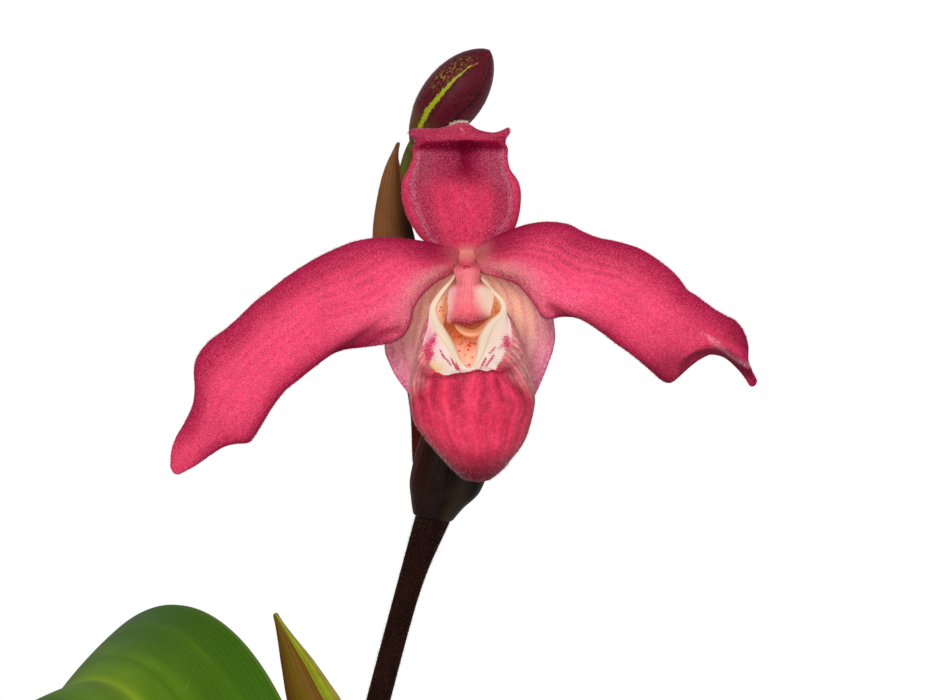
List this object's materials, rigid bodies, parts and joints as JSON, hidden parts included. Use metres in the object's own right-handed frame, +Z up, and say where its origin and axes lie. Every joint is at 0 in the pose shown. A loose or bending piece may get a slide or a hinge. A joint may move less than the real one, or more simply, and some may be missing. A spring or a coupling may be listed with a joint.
{
  "type": "potted phragmipedium orchid",
  "caption": "Slipper orchid in a plain clay pot: an open rose-crimson flower with a pouch and drooping waved petals, a bud behind it, a leaning hairy stem with bracts, and a fan of strap leaves",
  "frame": {"origin": "middle of the flat underside of the pot, on the surface that it stands on", "axes": "+Z is up, the open flower faces -Y, +X is to the right when the flower is seen from the front"},
  "size_m": [0.2991, 0.3299, 0.3655],
  "materials": {
    "clay": "plain unglazed terracotta, matte and slightly blotched",
    "bark": "rough dry bark chips",
    "root": "matte fuzzy living root and crown",
    "leaf": "satin mid-green leaf with fine parallel veins and a paler midrib",
    "stem": "near-black brown, with short pale hairs",
    "bract_green": "satin, olive brown to yellow green",
    "bract_dark": "glossy, very dark red-brown",
    "bract_brown": "matte brown, finely haired",
    "bud": "dark maroon with yellow-green seams, softly glossy",
    "ovary": "dark red-brown, ribbed and finely haired",
    "petal": "velvety rose crimson with fine darker veins and short pale hairs",
    "synsepal": "velvety pale pink, cream towards the middle, with fine pink veins",
    "pouch": "softly glossy crimson streaked lighter, with ivory spotted side lobes",
    "column": "waxy pink and cream"
  },
  "bodies": {
    "root": {"pot": "clay", "bark": "bark", "crown": "root", "leaf_1": "leaf", "leaf_2": "leaf", "leaf_3": "leaf", "leaf_4": "leaf", "leaf_5": "leaf", "leaf_6": "leaf", "stem": "stem", "rachis": "stem", "stem_bract": "bract_green", "flower_bract": "bract_dark", "upper_bract": "bract_brown", "bud": "bud", "ovary": "ovary", "dorsal_sepal": "petal", "synsepal": "synsepal", "petal_left": "petal", "petal_right": "petal", "pouch": "pouch", "column": "column"}
  },
  "joints": []
}
